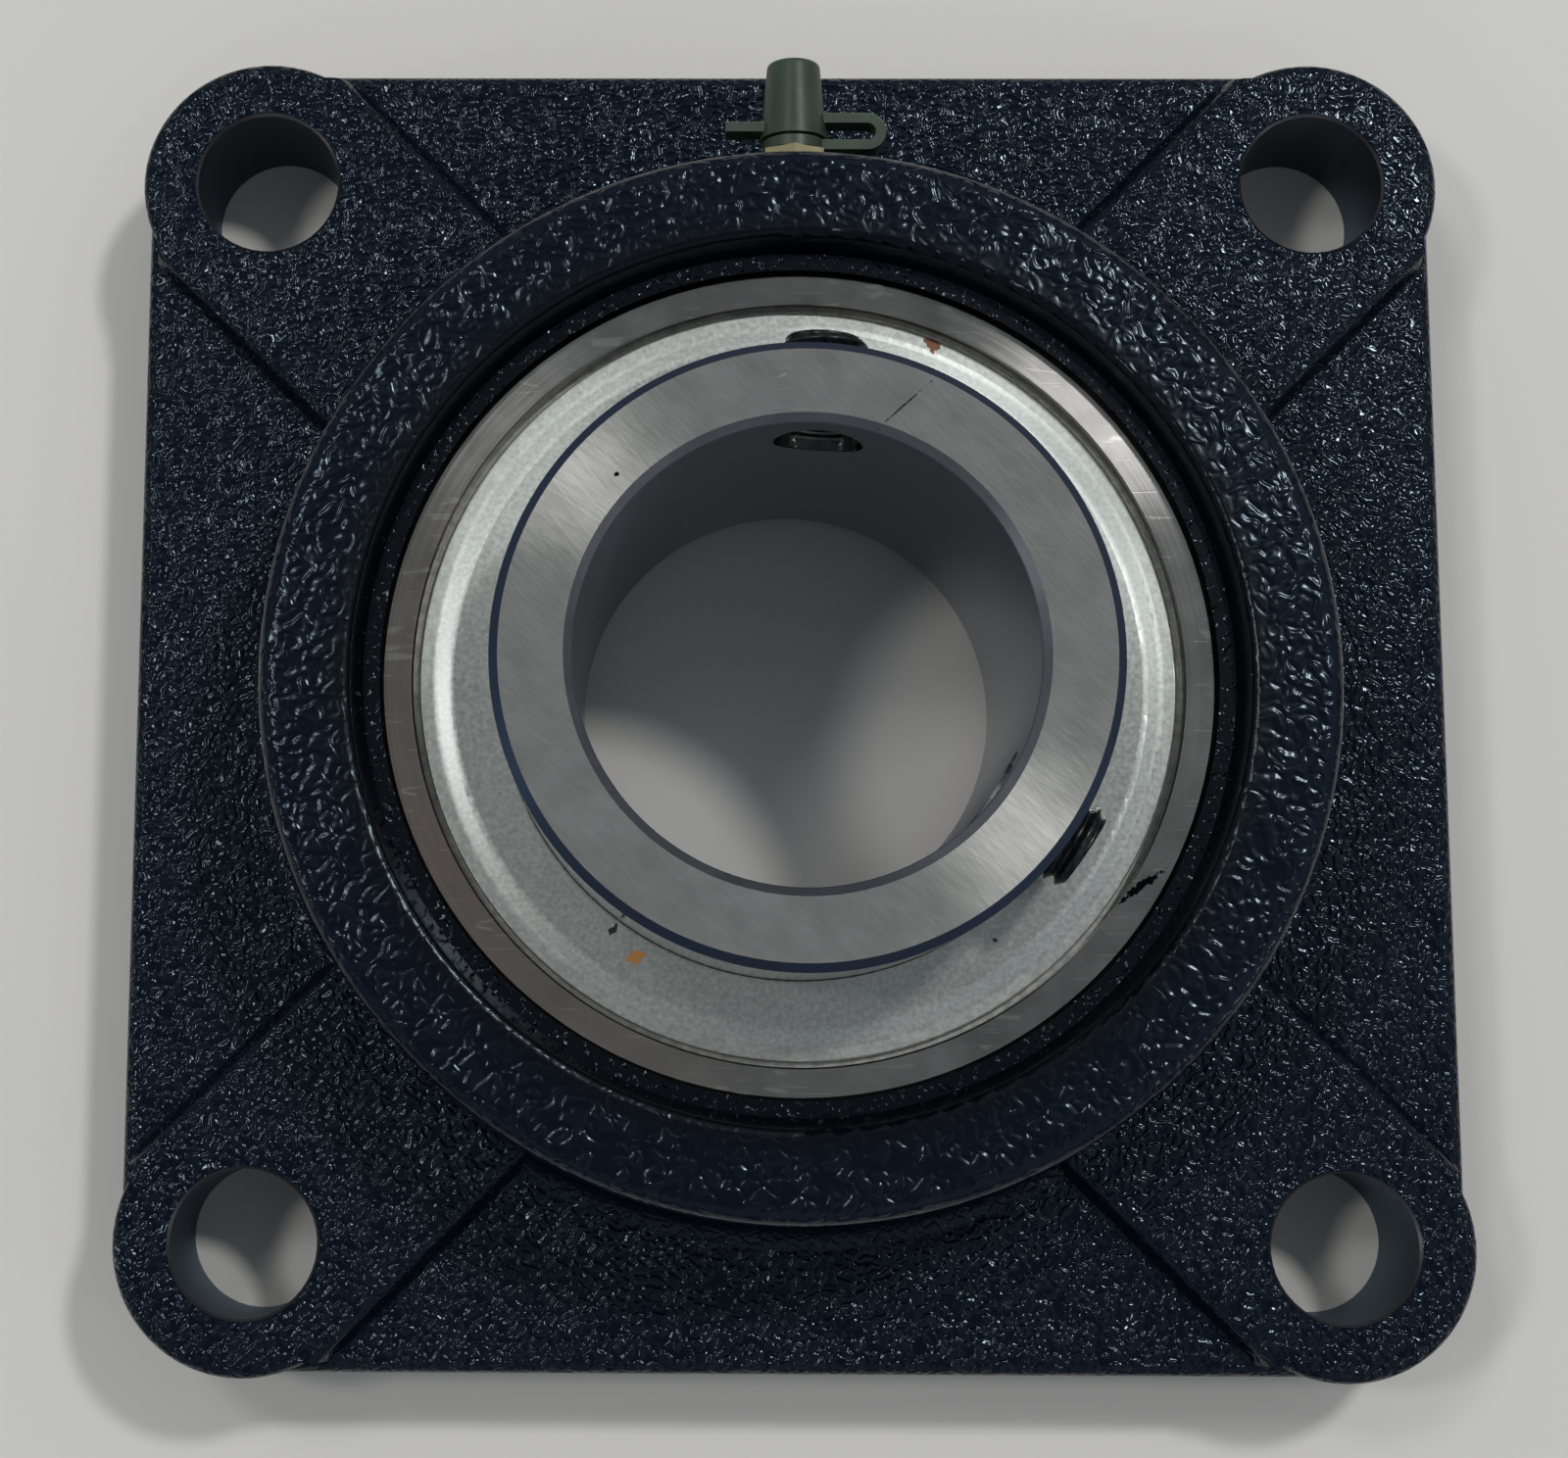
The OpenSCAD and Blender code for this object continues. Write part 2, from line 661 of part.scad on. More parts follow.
// Set screw with a hexagon socket at its outer end and a cup point at its inner end
module set_screw(i) {
    cup_r = screw_r - 2 * screw_chamfer;
    color("#17181a") rotate([0, 0, screw_angle - i * screw_spread]) {
        translate([screw_in, 0, screw_z]) rotate([0, 90, 0]) difference() {
            rotate_extrude() polygon([
                [0, 0], [screw_r - screw_chamfer, 0], [screw_r, screw_chamfer],
                [screw_r, screw_len - screw_chamfer], [screw_r - screw_chamfer, screw_len], [0, screw_len]
            ]);
            translate([0, 0, screw_len - socket_depth]) {
                linear_extrude(socket_depth + over) rotate(30) circle(d = socket_af / cos(30), $fn = 6);
            }
            translate([0, 0, -over]) cylinder(h = cup_r + over, r1 = cup_r + over, r2 = 0);
        }
    }
}

// Grease nipple: thread, hexagon, neck and a head with a hole that the check ball closes
module grease_nipple() {
    thread_r = nipple_thread_d / 2 - press_gap;
    color("#b8b29a") on_nipple_axis() difference() {
        union() {
            rotate_extrude() polygon([
                [0, -nipple_thread_len], [thread_r, -nipple_thread_len], [thread_r, over],
                [neck_d / 2, over], [neck_d / 2, head_base], [head_d / 2, head_base + head_grip],
                [head_d / 2, head_base + head_band], [tip_d / 2, tip_at], [0, tip_at]
            ]);
            translate([0, 0, press_gap]) {
                linear_extrude(hex_h) rotate(30) circle(d = hex_af / cos(30), $fn = 6);
            }
        }
        translate([0, 0, crimp_len - nipple_thread_len]) {
            cylinder(h = check_seat_at - crimp_len + nipple_thread_len, d = nipple_bore_d);
        }
        translate([0, 0, -nipple_thread_len - over]) {
            cylinder(h = nipple_thread_len + tip_at + 2 * over, r = check_hole_r);
        }
    }
}

module check_ball() {
    color("silver") on_nipple_axis() translate([0, 0, check_ball_at]) sphere(check_ball_r);
}

// Coil spring between the nipple's crimped end and the check ball
module check_spring() {
    sides = 6;
    steps = 12;
    rings = spring_turns * steps;
    wire_r = spring_wire_d / 2;
    coil_r = nipple_bore_d / 2 - wire_r - thread_gap;
    foot = spring_foot + wire_r;
    rise = spring_top - wire_r - press_gap - foot;
    points = [
        for (k = [0:rings], s = [0:sides - 1])
            let (turn = 360 * k / steps, around = 360 * s / sides, out = coil_r + wire_r * cos(around))
            [out * cos(turn), out * sin(turn), foot + rise * k / rings + wire_r * sin(around)]
    ];
    faces = [
        for (k = [0:rings - 1], s = [0:sides - 1])
            let (here = k * sides, up = here + sides, next = (s + 1) % sides)
            [here + s, up + s, up + next, here + next]
    ];
    ends = [
        [for (s = [0:sides - 1]) s],
        [for (s = [sides - 1:-1:0]) rings * sides + s]
    ];
    color("#9b9b9b") on_nipple_axis() polyhedron(points, concat(faces, ends));
}

// Tapered soft plastic cap over the nipple's head, with a tab to pull it off by
module nipple_cap() {
    base_r = cap_base_d / 2;
    top_r = cap_top_d / 2;
    bore = head_d / 2 + cap_gap;
    side = [base_r - top_r, -cap_len] / norm([base_r - top_r, cap_len]);
    color("#4f7a4a") on_nipple_axis() difference() {
        union() {
            rotate_extrude() difference() {
                polygon([[0, cap_base], [base_r, cap_base], [top_r, cap_top], [0, cap_top]]);
                corner_arc([top_r, cap_top], [-1, 0], side, cap_round);
            }
            translate([-tab_reach, -strap_w / 2, cap_base + tab_lift]) cube([tab_reach, strap_w, strap_t]);
        }
        rotate_extrude() polygon([
            [0, cap_base - over], [bore, cap_base - over], [bore, head_base + head_band],
            [top_r - cap_wall, cap_top - cap_end_t], [0, cap_top - cap_end_t]
        ]);
    }
}

// Side view of the strap, standing on the foot of its ring: out, round the loop and back to the cap
module strap_section() {
    loop_r = loop_top / 2;
    mid = loop_reach - loop_r;
    difference() {
        union() {
            translate([mid, loop_r]) circle(loop_r);
            square([mid, loop_top]);
        }
        translate([mid, loop_r]) circle(loop_r - strap_t);
        translate([-over, strap_t]) square([mid + over, loop_top - 2 * strap_t]);
    }
}

// Strap of the same plastic: a ring round the nipple's neck, and a loop up to the cap
module cap_strap() {
    base_r = cap_base_d / 2 + thread_gap;
    top_r = cap_top_d / 2 + thread_gap;
    color("#4f7a4a") on_nipple_axis() translate([0, 0, strap_foot]) difference() {
        union() {
            cylinder(h = strap_t, r = strap_ring_r);
            rotate([90, 0, 0]) linear_extrude(strap_w, center = true) strap_section();
        }
        translate([0, 0, -over]) cylinder(h = strap_t + 2 * over, r = neck_d / 2 + thread_gap);
        translate([0, 0, cap_base - strap_foot]) cylinder(h = cap_len, r1 = base_r, r2 = top_r);
    }
}

housing();
outer_ring();
inner_ring();
ball(0);  // ball_01
ball(1);  // ball_02
ball(2);  // ball_03
ball(3);  // ball_04
ball(4);  // ball_05
ball(5);  // ball_06
ball(6);  // ball_07
ball(7);  // ball_08
ball(8);  // ball_09
ball(9);  // ball_10
cage_front();
cage_rear();
cage_rivets();
seal_case_front();
seal_case_rear();
seal_lip_front();
seal_lip_rear();
slinger_front();
slinger_rear();
set_screw(0);  // set_screw_1
set_screw(1);  // set_screw_2
grease_nipple();
check_ball();
check_spring();
nipple_cap();
cap_strap();
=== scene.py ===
import math

import bmesh
import bpy
from mathutils import Matrix, Vector


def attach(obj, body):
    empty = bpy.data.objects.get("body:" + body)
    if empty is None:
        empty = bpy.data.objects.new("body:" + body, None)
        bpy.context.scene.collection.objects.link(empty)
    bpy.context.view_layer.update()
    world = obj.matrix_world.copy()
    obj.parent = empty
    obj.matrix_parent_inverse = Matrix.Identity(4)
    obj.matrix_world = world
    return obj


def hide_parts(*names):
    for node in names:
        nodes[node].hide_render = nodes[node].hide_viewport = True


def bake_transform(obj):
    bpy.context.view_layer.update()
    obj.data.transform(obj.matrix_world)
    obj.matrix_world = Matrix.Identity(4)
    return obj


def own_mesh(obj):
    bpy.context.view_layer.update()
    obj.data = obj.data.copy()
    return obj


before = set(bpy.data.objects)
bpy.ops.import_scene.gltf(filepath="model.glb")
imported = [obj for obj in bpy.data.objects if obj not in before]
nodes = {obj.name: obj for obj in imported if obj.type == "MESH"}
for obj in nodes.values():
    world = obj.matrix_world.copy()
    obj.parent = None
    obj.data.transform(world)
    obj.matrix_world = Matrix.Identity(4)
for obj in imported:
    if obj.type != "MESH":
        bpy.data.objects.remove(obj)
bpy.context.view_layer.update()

# Camera: held by hand above the unit, a little towards its lower edge and leaning upwards.
# The picture is the right-hand part of a wider one, so the lens is shifted.
camera_at = (-0.016009, -0.046829, 0.365503)
camera_lean_deg = (8.5928, 0.5346, 0.2359)
frame_width_px = 1600
focal_px = 2932.38
sensor_mm = 36
lens_shift = (0.0977, -0.04671)
nearest_m = 0.01
farthest_m = 50

camera = bpy.data.objects.new("camera", bpy.data.cameras.new("camera"))
camera.location = camera_at
camera.rotation_euler = [math.radians(a) for a in camera_lean_deg]
camera.data.sensor_width = sensor_mm
camera.data.lens = sensor_mm * focal_px / frame_width_px
camera.data.shift_x, camera.data.shift_y = lens_shift
camera.data.clip_start = nearest_m
camera.data.clip_end = farthest_m
bpy.context.scene.collection.objects.link(camera)
bpy.context.scene.camera = camera
bpy.context.scene.view_settings.view_transform = "Standard"

# Table: a plain pale board, painted matt, with a faint mottle.
# The unit stands on it on its mounting face, a hair above the paint.
table_colour = (0.6, 0.588, 0.568, 1)
table_roughness = 0.6
mottle_per_m = 9
table_size = 12
table_drop = 0.0002


def feed(tree, node, **values):
    """Sets a node's sockets. A value is a constant or a socket to link; _0, _1 name sockets by number."""
    for key, value in values.items():
        socket = node.inputs[int(key[1:])] if key[0] == "_" else node.inputs[key.replace("_", " ")]
        if isinstance(value, bpy.types.NodeSocket):
            tree.links.new(value, socket)
        else:
            socket.default_value = value


def add(tree, kind, settings=None, **values):
    """Adds a shader node of this kind with its settings, and sets its sockets."""
    made = tree.nodes.new("ShaderNode" + kind)
    for key, value in (settings or {}).items():
        setattr(made, key, value)
    feed(tree, made, **values)
    return made


def new_finish(name):
    """A new material: its tree, its one Principled shader, and the place on the piece that it reads."""
    finish = bpy.data.materials.new(name)
    finish.use_nodes = True
    tree = finish.node_tree
    tree.nodes.clear()
    shader = add(tree, "BsdfPrincipled")
    add(tree, "OutputMaterial", Surface=shader.outputs[0])
    return finish, tree, shader, add(tree, "TexCoord").outputs["Object"]


def noise(tree, place, scale, detail=2.0, distortion=0.0):
    """Soft random cloudiness with about this many clouds per metre, around a half."""
    made = add(tree, "TexNoise", Vector=place, Scale=scale, Detail=detail, Distortion=distortion)
    return made.outputs["Fac"]


def ramp(tree, value, start, end, low=0.0, high=1.0):
    """Goes evenly from low to high as the value goes from start to end, and holds beyond them."""
    made = add(tree, "MapRange", Value=value, From_Min=start, From_Max=end, To_Min=low, To_Max=high)
    return made.outputs[0]


def tinted(tree, colour, pattern, low, high, start=0.3, end=0.7):
    """A colour made darker and lighter by a pattern: low and high are its brightness at start and end."""
    tone = ramp(tree, pattern, start, end, low, high)
    multiply = {"data_type": "RGBA", "blend_type": "MULTIPLY"}
    return add(tree, "Mix", multiply, _0=1.0, _6=colour, _7=tone).outputs[2]


def new_piece(name, shape, finish):
    """Makes an object of a finished bmesh, gives it its finish and puts it in the scene."""
    mesh = bpy.data.meshes.new(name)
    shape.to_mesh(mesh)
    shape.free()
    mesh.materials.append(finish)
    piece = bpy.data.objects.new(name, mesh)
    bpy.context.scene.collection.objects.link(piece)
    return piece


finish, tree, shader, place = new_finish("table")
mottle = noise(tree, place, mottle_per_m, detail=3)
feed(tree, shader, Base_Color=tinted(tree, table_colour, mottle, 0.97, 1.0), Roughness=table_roughness)

board = bmesh.new()
bmesh.ops.create_grid(board, x_segments=1, y_segments=1, size=table_size / 2)
bmesh.ops.translate(board, verts=board.verts, vec=(0, 0, -table_drop))
table = new_piece("table", board, finish)

# Room: painted walls and ceiling, seen only as light and in the gloss of the metal.
# It is dark at eye level, bright where walls and ceiling meet, and dimmer above the table and to its left.
room_low = 0.03
room_bright = 0.5
room_top = 0.225
room_lean = 0.4
room_tint = (0.9, 0.96, 1, 1)
wall_dark_to = 0.05
wall_bright_from = 0.35
ceiling_bright_to = 0.7
ceiling_dim_from = 0.92


def calc(tree, operation, a, b=0.0, c=0.0, clamp=False):
    """The output of a Math node."""
    return add(tree, "Math", {"operation": operation, "use_clamp": clamp}, _0=a, _1=b, _2=c).outputs[0]


def split(tree, vector):
    """The X, Y and Z of a vector."""
    return add(tree, "SeparateXYZ", Vector=vector).outputs


room = bpy.data.worlds.new("room")
room.use_nodes = True
tree = room.node_tree
tree.nodes.clear()
x, y, height = split(tree, add(tree, "TexCoord").outputs["Generated"])
wall = ramp(tree, height, wall_dark_to, wall_bright_from, room_low, room_bright)
overhead = calc(tree, "MULTIPLY_ADD", x, -room_lean, height)
ceiling = ramp(tree, overhead, ceiling_bright_to, ceiling_dim_from, room_bright, room_top)
air = add(tree, "Background", Color=room_tint, Strength=calc(tree, "MINIMUM", wall, ceiling))
add(tree, "OutputWorld", Surface=air.outputs[0])
bpy.context.scene.world = room

# Lamps: small soft ceiling lights, two beyond the unit's upper edge and one far to the left.
# The right one is stronger and smaller. Two weak low ones pick out the rounded edges on both sides.
lamp_colour = (1, 0.99, 0.96)
lamps = {
    "lamp_right": {"spot": (0.92, 0.95, 2.1), "width": 0.24, "watts": 22},
    "lamp_left": {"spot": (-0.85, 0.86, 2.1), "width": 0.4, "watts": 7.5},
    "lamp_far_left": {"spot": (-1.2, 0.2, 2.1), "width": 0.3, "watts": 9.5},
    "lamp_low_left": {"spot": (-1.35, -0.35, 0.5), "width": 0.16, "watts": 1.3},
    "lamp_low_right": {"spot": (1.3, -0.65, 0.5), "width": 0.16, "watts": 0.9},
}

for name, fitting in lamps.items():
    light = bpy.data.lights.new(name, "AREA")
    light.shape = "DISK"
    light.size = fitting["width"]
    light.energy = fitting["watts"]
    light.color = lamp_colour
    lamp = bpy.data.objects.new(name, light)
    lamp.location = fitting["spot"]
    lamp.rotation_euler = (-Vector(fitting["spot"])).to_track_quat("-Z", "Y").to_euler()
    bpy.context.scene.collection.objects.link(lamp)

# Housing: one sand casting in grey iron, sprayed with near-black blue enamel that dries in fine ripples.
# Bolt holes, spot face, seat and mounting face are machined after painting and stay bare.
enamel_colour = (0.0004, 0.002, 0.0075, 1)
enamel_gloss_tint = (0.68, 0.86, 1, 1)
enamel_gloss = 0.25
enamel_roughness = 0.15
rim_rougher = 0.04
mouth_rougher = 0.05
bare_rougher = 0.25
crest_painted_highlight_colour = (0.003, 0.006, 0.01, 1)
mouth_painted_shade_colour = (0.0006, 0.0008, 0.0015, 1)
mouth_painted_shade_share = 0.9
bare_iron_colour = (0.1, 0.1, 0.108, 1)
mounting_face_colour = (0.36, 0.36, 0.35, 1)
mounting_face_z = 0.0001
ripple_per_m = 700
ripple_folds = 18.5
ripple_depth = 0.000085
swell_share = 0.5
swell_height = 4.0
ripple_strength = 0.88
slope_strength = 0.4
side_strength = 0.75
rim_ripple_share = 0.72
rim_weaker = 0.3
mouth_edge_weaker = 0.6
speck_per_m = 1300
ledge_specks_from = 0.56
bolt_at = 0.065
hole_edge_r = 0.00912
hole_ragged = 0.00012
hole_ragged_per_m = 900
spot_face_y = 0.06146
spot_face_z = 0.033
spot_face_r = 0.0086
seat_z = 0.026
seat_r = 0.0503
ledge_z = 0.0399
ledge_r = 0.0499
rim_low_z = 0.0425
rim_outer_r = 0.0625
mouth_edge_r = 0.0575
mouth_dark_from_r = 0.0545
mouth_dark_to_r = 0.0524


def covered(tree, mask, under, over):
    """The colour under, with the colour over laid on it where the mask is one."""
    return add(tree, "Mix", {"data_type": "RGBA"}, _0=mask, _6=under, _7=over).outputs[2]


def chosen(tree, mask, off, on):
    """The value off, or the value on where the mask is one."""
    return add(tree, "Mix", {"data_type": "FLOAT"}, _0=mask, _2=off, _3=on).outputs[0]


def both(tree, first, second):
    """A mask of where two masks overlap."""
    return calc(tree, "MULTIPLY", first, second)


def below(tree, value, limit):
    """A mask of where a value is under a limit."""
    return calc(tree, "LESS_THAN", value, limit)


def above(tree, value, limit):
    """A mask of where a value is over a limit."""
    return calc(tree, "GREATER_THAN", value, limit)


def sum_of_squares(tree, *lengths):
    """Two or more lengths, each squared, added up."""
    total = calc(tree, "MULTIPLY", lengths[-1], lengths[-1])
    for length in reversed(lengths[:-1]):
        total = calc(tree, "MULTIPLY_ADD", length, length, total)
    return total


def distance(tree, x, y):
    """How far a place lies from where both its measures are nought."""
    return calc(tree, "SQRT", sum_of_squares(tree, x, y))


def new_effect(name, inputs, outputs):
    """An empty node group with named sockets: its tree, its inputs by name, and the results to link to."""
    tree = bpy.data.node_groups.new(name, "ShaderNodeTree")
    for socket, kind, value in inputs:
        made = tree.interface.new_socket(socket, in_out="INPUT", socket_type="NodeSocket" + kind)
        if value is not None:
            made.default_value = value
    for socket in outputs:
        tree.interface.new_socket(socket, in_out="OUTPUT", socket_type="NodeSocketFloat")
    return tree, tree.nodes.new("NodeGroupInput").outputs, tree.nodes.new("NodeGroupOutput").inputs


def effect(tree, name, **values):
    """Places a node group in a material and gives its outputs."""
    return add(tree, "Group", {"node_tree": bpy.data.node_groups[name]}, **values).outputs


g, given, out = new_effect(
    "enamel ripple",
    [("Vector", "Vector", None), ("Scale", "Float", 700.0), ("Folds", "Float", 20.0)],
    ["Height", "Crest"],
)
waves = noise(g, given["Vector"], given["Scale"], detail=0.6, distortion=0.3)
folds = calc(g, "COSINE", calc(g, "MULTIPLY", waves, given["Folds"]))
swell = noise(g, given["Vector"], calc(g, "MULTIPLY", given["Scale"], swell_share))
g.links.new(calc(g, "MULTIPLY_ADD", swell, swell_height, folds), out["Height"])
g.links.new(ramp(g, folds, 0.2, 1.0), out["Crest"])

g, given, out = new_effect("machined iron", [("Vector", "Vector", None)], ["Mask"])
x, y, z = split(g, given["Vector"])
beside_hole_x = calc(g, "SUBTRACT", calc(g, "ABSOLUTE", x), bolt_at)
beside_hole_y = calc(g, "SUBTRACT", calc(g, "ABSOLUTE", y), bolt_at)
ragged = noise(g, given["Vector"], hole_ragged_per_m)
from_hole = distance(g, beside_hole_x, beside_hole_y)
in_hole = below(g, calc(g, "MULTIPLY_ADD", ragged, hole_ragged, from_hole), hole_edge_r)
from_seat = sum_of_squares(g, x, y, calc(g, "SUBTRACT", z, seat_z))
in_seat = both(g, below(g, from_seat, seat_r * seat_r), below(g, z, ledge_z))
from_nipple = sum_of_squares(g, x, calc(g, "SUBTRACT", z, spot_face_z))
on_spot_face = both(g, below(g, from_nipple, spot_face_r * spot_face_r), above(g, y, spot_face_y))
on_flats = calc(g, "MAXIMUM", on_spot_face, below(g, z, mounting_face_z))
g.links.new(calc(g, "MAXIMUM", calc(g, "MAXIMUM", in_hole, in_seat), on_flats), out["Mask"])

finish, tree, shader, place = new_finish("housing_paint")
bare = effect(tree, "machined iron", Vector=place)["Mask"]
x, y, z = split(tree, place)
from_axis = distance(tree, x, y)
on_rim = both(tree, above(tree, z, rim_low_z), below(tree, from_axis, rim_outer_r))
in_mouth = both(tree, below(tree, z, rim_low_z), below(tree, from_axis, mouth_edge_r))
speck = noise(tree, place, speck_per_m, detail=1)
on_ledge = both(tree, below(tree, from_axis, ledge_r), above(tree, speck, ledge_specks_from))
into_mouth = ramp(tree, from_axis, mouth_dark_from_r, mouth_dark_to_r)

# The ripples are coarser on the rim, weak on slopes and stronger again on upright sides.
# They fade out into the mouth.
fine = effect(tree, "enamel ripple", Vector=place, Scale=ripple_per_m, Folds=ripple_folds)
coarse = effect(
    tree, "enamel ripple", Vector=place, Scale=ripple_per_m * rim_ripple_share, Folds=ripple_folds
)
height = chosen(tree, on_rim, fine["Height"], coarse["Height"])
crest = chosen(tree, on_rim, fine["Crest"], coarse["Crest"])
upward = split(tree, add(tree, "TexCoord").outputs["Normal"])["Z"]
on_top = ramp(tree, upward, 0.55, 0.97, slope_strength, 1.0)
on_side = ramp(tree, upward, 0.35, 0.05, 0.0, side_strength)
edge_fade = calc(tree, "MULTIPLY_ADD", into_mouth, -mouth_edge_weaker, 1.0)
level = calc(tree, "MULTIPLY", calc(tree, "MAXIMUM", on_top, on_side), edge_fade)
level = chosen(tree, in_mouth, level, on_ledge)
level = calc(tree, "MULTIPLY", level, calc(tree, "MULTIPLY_ADD", on_rim, -rim_weaker, ripple_strength))
painted = calc(tree, "MULTIPLY", level, calc(tree, "SUBTRACT", 1.0, bare))
ripples = add(tree, "Bump", Strength=painted, Distance=ripple_depth, Height=height).outputs[0]

# The ripple crests are painted lighter than their hollows: painted highlight on the crests, painted shade
# in the hollows.
colour = covered(tree, both(tree, crest, level), enamel_colour, crest_painted_highlight_colour)
# The mouth inside the rim is painted near black: painted shade for the rim's shadow and the dark room it
# mirrors.
mouth_painted_shade = calc(tree, "MULTIPLY", calc(tree, "MAXIMUM", in_mouth, into_mouth), mouth_painted_shade_share)
colour = covered(tree, mouth_painted_shade, colour, mouth_painted_shade_colour)
milled = tinted(tree, mounting_face_colour, speck, 0.8, 1.1)
iron = covered(tree, below(tree, z, mounting_face_z), bare_iron_colour, milled)
rough = calc(tree, "MULTIPLY_ADD", on_rim, rim_rougher, enamel_roughness)
rough = calc(tree, "MULTIPLY_ADD", bare, bare_rougher, rough)
rough = calc(tree, "MULTIPLY_ADD", mouth_painted_shade, mouth_rougher, rough)
colour = covered(tree, bare, colour, iron)
feed(
    tree, shader, Base_Color=colour, Metallic=bare, Roughness=rough, Normal=ripples,
    Specular_Tint=enamel_gloss_tint, Specular_IOR_Level=enamel_gloss,
)


def finished(finish, names):
    """Gives the named CAD pieces their finish."""
    for name in names:
        nodes[name].data.materials.clear()
        nodes[name].data.materials.append(finish)


finished(finish, ["housing"])

# Outer ring: hardened steel, ground to a sphere outside and flat on its faces, dull from handling.
# Its face keeps fine grinding lines, short scratches and a black mark, and turns browner towards one side.
outer_colour = (0.35, 0.345, 0.335, 1)
outer_roughness = 0.12
grain_roughness = 0.12
outer_lines_per_m = 3500.0
scratch_colour = (0.6, 0.59, 0.56, 1)
scratch_strength = 0.6
mark_colour = (0.008, 0.009, 0.012, 1)
outer_marks = [((38.9, -23.6, 38.5), (2.9, 0.42, 2), 36, mark_colour)]
brown_side_colour = (0.33, 0.26, 0.22, 1)
brown_side_deg = 208
brown_side_narrowness = 3.0
worn_sides = ((43, 26.0, 0.23), (138, 20.0, 0.12), (230, 3.0, 0.05))
scratch_runs = ((0.5, 0.0), (1.25, 3.1), (2.2, 7.7), (2.9, 11.3))
scratch_stretch = 0.06
scratch_per_m = 420.0
scratch_width = 0.02
scratch_patches_per_m = 210.0
scratch_patch_step = 9
scratch_depth = 1.5
mark_ragged = 2.6
mark_ragged_per_m = 1700
stain_per_m = 170
polish_depth = 0.00001

g, given, out = new_effect(
    "scratches", [("Vector", "Vector", None), ("Scale", "Float", 400.0), ("Width", "Float", 0.02)], ["Mask"]
)
total = 0.0
for turn, shift in scratch_runs:
    drawn_out = add(
        g, "Mapping", Vector=given["Vector"], Location=(shift, shift, 0), Rotation=(0, 0, turn),
        Scale=(scratch_stretch, 1, 1),
    )
    lines = noise(g, drawn_out.outputs[0], given["Scale"], detail=0.0)
    off_line = calc(g, "ABSOLUTE", calc(g, "SUBTRACT", lines, 0.5))
    line = calc(g, "SUBTRACT", 1.0, calc(g, "DIVIDE", off_line, given["Width"]), clamp=True)
    patches_per_m = calc(g, "ADD", scratch_patches_per_m, shift * scratch_patch_step)
    patches = noise(g, given["Vector"], patches_per_m, detail=0.0)
    total = calc(g, "MAXIMUM", total, both(g, line, ramp(g, patches, 0.62, 0.7)))
g.links.new(total, out["Mask"])

g, given, out = new_effect(
    "turned lines", [("Vector", "Vector", None), ("Scale", "Float", 3000.0)], ["Value"]
)
x, y, z = split(g, given["Vector"])
along = add(g, "CombineXYZ", X=distance(g, x, y), Y=z, Z=calc(g, "MULTIPLY", x, 0.04)).outputs[0]
g.links.new(noise(g, along, given["Scale"]), out["Value"])

g, given, out = new_effect(
    "small mark",
    [(socket, "Vector", None) for socket in ("Vector", "Centre", "Turn", "Half size")],
    ["Mask"],
)
apart = add(g, "VectorMath", {"operation": "SUBTRACT"}, _0=given["Vector"], _1=given["Centre"]).outputs[0]
euler = {"rotation_type": "EULER_XYZ"}
turned = add(g, "VectorRotate", euler, Vector=apart, Rotation=given["Turn"]).outputs[0]
in_halves = add(g, "VectorMath", {"operation": "DIVIDE"}, _0=turned, _1=given["Half size"]).outputs[0]
out_by = add(g, "VectorMath", {"operation": "LENGTH"}, _0=in_halves).outputs["Value"]
ragged = calc(g, "SUBTRACT", noise(g, given["Vector"], mark_ragged_per_m), 0.5)
g.links.new(ramp(g, calc(g, "MULTIPLY_ADD", ragged, mark_ragged, out_by), 1.1, 0.9), out["Mask"])


def marked(tree, place, colour, marks):
    """Lays small marks on a colour: each has its centre and half size in mm, its turn and its colour."""
    for centre, half, turn, own in marks:
        mark = effect(
            tree, "small mark", Vector=place, Centre=[c / 1000 for c in centre],
            Turn=(0, 0, -math.radians(turn)), Half_size=[h / 1000 for h in half],
        )
        colour = covered(tree, mark["Mask"], colour, own)
    return colour


def facing_side(tree, azimuth, side, narrowness):
    """One towards a side given in degrees, and falling to nought round the ring, faster when narrower."""
    toward = calc(tree, "COSINE", calc(tree, "SUBTRACT", azimuth, math.radians(side)), clamp=True)
    return calc(tree, "POWER", toward, narrowness)


def duller(tree, azimuth, sides, rough):
    """Adds roughness on some sides: each has its direction in degrees, its narrowness and what it adds."""
    for side, narrowness, added in sides:
        rough = calc(tree, "MULTIPLY_ADD", facing_side(tree, azimuth, side, narrowness), added, rough)
    return rough


def relief(tree, height, strength, depth):
    """The surface's normal with a pattern's height on it."""
    return add(tree, "Bump", Strength=strength, Distance=depth, Height=height).outputs[0]


def ground_round(tree, shader):
    """Bare steel ground in rings about the shaft, which draws its gloss out across the grinding lines."""
    tangent = add(tree, "Tangent", {"direction_type": "RADIAL", "axis": "Z"}).outputs[0]
    feed(tree, shader, Metallic=1, Anisotropic=0.3, Anisotropic_Rotation=0.25, Tangent=tangent)


